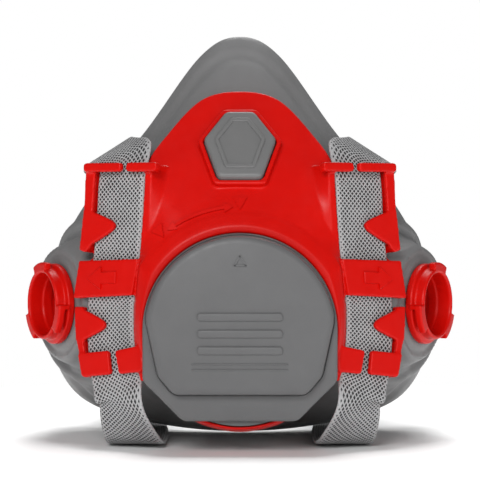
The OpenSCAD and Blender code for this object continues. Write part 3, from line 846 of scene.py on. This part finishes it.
def make_port(side):
    """Bayonet tube with its flange and three lugs."""
    name = "right" if side > 0 else "left"
    solids = [lathe(TUBE, 120)]
    solids += [lathe(LUG, 16, start, LUG_SWEEP) for start in LUG_STARTS]
    solids += [lathe(STOP, 5, start, STOP_SWEEP) for start in LUG_STARTS]
    solids = [moved(s, at_port) for s in solids]
    if side < 0:
        solids = [mirrored(s) for s in solids]
    port = mesh_object(f"port_{name}", *solids[0], RED)
    combine(port, solids[1:], "UNION")
    moulded(port, 0.28, 2)
    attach(port, "mask")
    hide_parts(f"port_connector_{name}")


# ------------------------------------------------------------------ straps

STRAP_W = 20.0
STRAP_T = 1.6
STRAP_GAP = 0.3                 # between the webbing and its bed
BED_H = STRAP_GAP + STRAP_T / 2
GROUND_Z = STRAP_T / 2 + 0.2
CLIP_Y = 64.0
CLIP_H = 23.0
SLOT_X = 31.5                   # slot in the head cradle
STRAP_STEP = 0.7                # length of one row of faces


def wing_point(u, v, h):
    return at_wing(np.array([u, v, h]))


def wing_lean(angle):
    """Direction across the strap on its bed, leaning by an angle."""
    return wing_point(math.cos(math.radians(angle)), math.sin(math.radians(angle)), 0) - wing_point(0, 0, 0)


# Stations along the straps: middle of the webbing, and the direction across it.
LOWER_FRONT = [
    [[34.8, -8, GROUND_Z], [1, 0, 0]],
    [[34.8, -12, 1.1], [1, 0, 0]],
    [[35, -18, 1.4], [1, 0.1, 0]],
    [[36, -25.5, 4], [0.96, 0.25, 0.05]],
    [[37.8, -31, 10], [0.86, 0.45, 0.14]],
    [wing_point(5.2, -24, BED_H), wing_lean(16)],
    [wing_point(7.4, -18, BED_H), wing_lean(14)],
    [wing_point(9.3, -12, BED_H), wing_lean(10)],
    [wing_point(11, -4, BED_H), wing_lean(6)],
    [wing_point(12, 6, BED_H), wing_lean(0)],
    [wing_point(11.6, 14, BED_H), wing_lean(-3)]]
UPPER_FRONT = [
    [wing_point(11.55, 15, BED_H), wing_lean(-3)],
    [wing_point(10.8, 26, BED_H), wing_lean(-1)],
    [wing_point(10.7, 38, BED_H), wing_lean(0)],
    [wing_point(10.9, 47, BED_H), wing_lean(0)],
    [wing_point(11, 52, BED_H - 0.5), wing_lean(0)],
    [[38.5, -20.6, 97], [0.8, 0.6, 0.02]],
    [[40.6, -14.3, 99.4], [0.87, 0.4, -0.24]],
    [[44.5, -6, 99], [0.85, 0.04, -0.52]],
    [[44.7, -2, 98.6], [0.84, 0, -0.55]]]
HEAD = [
    [[44.9, 3, 98.3], [0.84, 0, -0.55]],
    [[46.3, 12, 98], [0.84, 0, -0.55]],
    [[44.4, 25, 94], [0.88, 0, -0.4]],
    [[39.8, 44, 80], [1, 0, -0.1]],
    [[36, 62, 60], [1, 0, 0]],
    [[33, 78, 32], [1, 0, 0]],
    [[SLOT_X, 87, 12], [1, 0, 0]],
    [[SLOT_X, 87.9, 0.6], [1, 0, 0]]]


def neck(end_x, end_y):
    """Stations of the neck band, from under the chin to the clip."""
    return [
        [[34.8, -3, GROUND_Z], [1, 0, 0]],
        [[35, 8, GROUND_Z], [1, 0, 0]],
        [[36, 28, GROUND_Z], [1, 0, 0]],
        [[37.3, 40, 2.6], [1, 0, 0.1]],
        [[37.6, 48, 8.4], [0.6, 0, 0.8]],
        [[35.5, end_y - 8.5, CLIP_H / 2], [0.1, 0, 1]],
        [[29.5, end_y - 1.8, CLIP_H / 2], [0, 0, 1]],
        [[24, end_y, CLIP_H / 2], [0, 0, 1]],
        [[end_x, end_y, CLIP_H / 2], [0, 0, 1]]]


def strap_section():
    """Half-widths and heights round the webbing: a flat band with rounded, slightly thicker edges."""
    u = np.sin(np.linspace(-0.5 * math.pi, 0.5 * math.pi, 25))
    half = STRAP_T / 2 * (1 - np.abs(u) ** 14) ** 0.5 * (0.9 + 0.1 * bump(np.abs(u), 0.9, 0.12))
    top = np.column_stack([u * STRAP_W / 2, half])
    low = np.column_stack([u[::-1] * STRAP_W / 2, -half[::-1]])
    return np.concatenate([top, low[1:-1]])


def make_strap(name, stations, side):
    """One length of webbing swept along its stations; side is 1 for right and -1 for left."""
    centres = np.array([s[0] for s in stations], float)
    across = unit(np.array([s[1] for s in stations], float))
    length = float(np.linalg.norm(np.diff(centres, axis=0), axis=1).sum())
    at = np.linspace(0, len(centres) - 1, int(length / STRAP_STEP))
    c, a = catmull(centres, at), unit(catmull(across, at))
    tangent = unit(np.gradient(c, axis=0))
    thick = unit(np.cross(tangent, a))
    wide = unit(np.cross(thick, tangent))
    run = np.concatenate([[0], np.cumsum(np.linalg.norm(np.diff(c, axis=0), axis=1))])
    section = strap_section()
    rows = c[:, None] + wide[:, None] * section[None, :, :1] + thick[:, None] * section[None, :, 1:]
    rows[..., 0] *= side
    uv = np.stack(np.broadcast_arrays(section[None, :, 0], run[:, None]), axis=-1)
    points, faces = capped_solid(rows)
    strap = mesh_object(name, points, faces, WEBBING, uv=uv, smooth_angle=60)
    return strap


def make_straps():
    """Each strap is one length that blends over the split between two of the CAD's lengths."""
    for side, name, end in ((1, "right", (5, CLIP_Y + 4)), (-1, "left", (16, CLIP_Y))):
        upper = make_strap(f"strap_upper_{name}", UPPER_FRONT + HEAD, side)
        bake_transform(upper)
        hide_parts(f"head_strap_{name}", f"front_strap_{name}")
        lower = make_strap(f"strap_lower_{name}", neck(*end)[::-1] + LOWER_FRONT, side)
        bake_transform(lower)
        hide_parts(f"neck_strap_{name}")


# ------------------------------------------------------------------ small parts kept from the CAD model


def keep(node, material, bevel_mm=0.0):
    """Gives a CAD node its material, and rounds its edges with modifiers."""
    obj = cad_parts[node]
    for slot in obj.material_slots:
        slot.material = material
    if bevel_mm:
        weld = obj.modifiers.new("weld", "WELD")
        weld.merge_threshold = 0.000005
        bevel = obj.modifiers.new("bevel", "BEVEL")
        bevel.width = bevel_mm * MM
        bevel.segments = 3
        bevel.limit_method = "ANGLE"
        bevel.angle_limit = math.radians(40)


def keep_small_parts():
    keep("exhalation_seat", GREY)
    keep("exhalation_flap", VALVE)
    for side in ("left", "right"):
        keep(f"port_ring_{side}", RED)
        keep(f"inhalation_flap_{side}", VALVE)
    keep("head_cradle", GREY, 0.5)
    keep("buckle_socket", GREY, 0.4)
    keep("buckle_plug", GREY, 0.4)


# ------------------------------------------------------------------ stage, light, camera

CAMERA_AIM = (0, -0.0353, 0.0690)
CAMERA_DISTANCE = 0.70
CAMERA_RAISED = 1.0     # degrees
CAMERA_FIELD = 0.1656   # width that fills the picture at the aim point
SENSOR = 36
AMBIENT = 0.20          # how brightly the white surroundings light the object
FLOOR_HALF = 6.0
FLOOR_Z = -0.0002
FLOOR_FADE = (0.11, 0.20)   # distances between which the floor turns to white
# Lamps: place, diameter, power.
LAMPS = {
    "key": ((-0.2, -0.95, 0.5), 0.40, 6.0),
    "fill": ((0.5, -1.0, 0.20), 0.6, 2.4),
    "back": ((0.1, 0.6, 1.1), 0.6, 7)}
FLOOR_LAMP = ((0, -0.05, 1.2), 0.5, 10.5)


def white_to_camera(n, shader, fac):
    """Mixes a shader with plain white that only the camera sees."""
    white = n.add("ShaderNodeEmission", Color=(1, 1, 1, 1), Strength=1.0)
    both = n.add("ShaderNodeMixShader")
    seen = n.math("MULTIPLY", n.add("ShaderNodeLightPath").outputs["Is Camera Ray"], fac)
    n.link(seen, both.inputs[0])
    n.link(shader, both.inputs[1])
    n.link(white.outputs[0], both.inputs[2])
    return both.outputs[0]


def floor_material():
    """Pale floor that fades into the white background."""
    n = Nodes("floor", 0.7)
    n.colour(n.blend(n.noise(60, 2), (0.88, 0.88, 0.88), (0.92, 0.92, 0.92)))
    flat = n.add("ShaderNodeVectorMath", operation="LENGTH")
    n.link(n.coordinates(), flat.inputs[0])
    far = n.span(flat.outputs["Value"], *FLOOR_FADE, 0.0, 1.0)
    output = n.tree.nodes["Material Output"]
    n.link(white_to_camera(n, n.shader.outputs[0], far), output.inputs["Surface"])
    return n.material


def area_light(name, place, size, power):
    light = bpy.data.lights.new(name, "AREA")
    light.shape = "DISK"
    light.size = size
    light.energy = power
    lamp = bpy.data.objects.new(name, light)
    lamp.location = place
    lamp.rotation_euler = (Vector(CAMERA_AIM) - Vector(place)).to_track_quat("-Z", "Y").to_euler()
    bpy.context.scene.collection.objects.link(lamp)
    return lamp


def make_floor():
    mesh = bpy.data.meshes.new("floor")
    corners = [(-1, -1), (1, -1), (1, 1), (-1, 1)]
    mesh.from_pydata([(x * FLOOR_HALF, y * FLOOR_HALF, FLOOR_Z) for x, y in corners], [], [(0, 1, 2, 3)])
    mesh.materials.append(floor_material())
    floor = bpy.data.objects.new("floor", mesh)
    bpy.context.scene.collection.objects.link(floor)
    return floor


def make_lamps(floor):
    for name, settings in LAMPS.items():
        area_light(name, *settings)
    # a lamp that lights only the floor keeps it white round the soft shadow
    floor_only = bpy.data.collections.new("floor_only")
    floor_only.objects.link(floor)
    above = area_light("above", *FLOOR_LAMP)
    above.light_linking.receiver_collection = floor_only


def make_surroundings():
    """White to the camera, and a weak even light to everything else."""
    world = bpy.data.worlds.new("studio")
    world.use_nodes = True
    tree = world.node_tree
    seen = tree.nodes.new("ShaderNodeLightPath")
    strength = tree.nodes.new("ShaderNodeMapRange")
    strength.inputs["To Min"].default_value = AMBIENT
    strength.inputs["To Max"].default_value = 1.0
    tree.links.new(seen.outputs["Is Camera Ray"], strength.inputs["Value"])
    tree.links.new(strength.outputs["Result"], tree.nodes["Background"].inputs["Strength"])
    tree.nodes["Background"].inputs["Color"].default_value = (1, 1, 1, 1)
    bpy.context.scene.world = world


def make_camera():
    lift = math.radians(CAMERA_RAISED)
    lens = bpy.data.cameras.new("camera")
    lens.sensor_width = SENSOR
    lens.lens = SENSOR * CAMERA_DISTANCE / CAMERA_FIELD
    camera = bpy.data.objects.new("camera", lens)
    camera.location = Vector(CAMERA_AIM) + Vector((0, -math.cos(lift), math.sin(lift))) * CAMERA_DISTANCE
    camera.rotation_euler = (Vector(CAMERA_AIM) - camera.location).to_track_quat("-Z", "Y").to_euler()
    bpy.context.scene.collection.objects.link(camera)
    bpy.context.scene.camera = camera
    bpy.context.scene.view_settings.view_transform = "Standard"


make_facepiece()
make_frame()
make_frame_marks()
make_badge()
make_cover()
make_cover_marks()
make_port(1)
make_port(-1)
make_straps()
keep_small_parts()
make_lamps(make_floor())
make_surroundings()
make_camera()
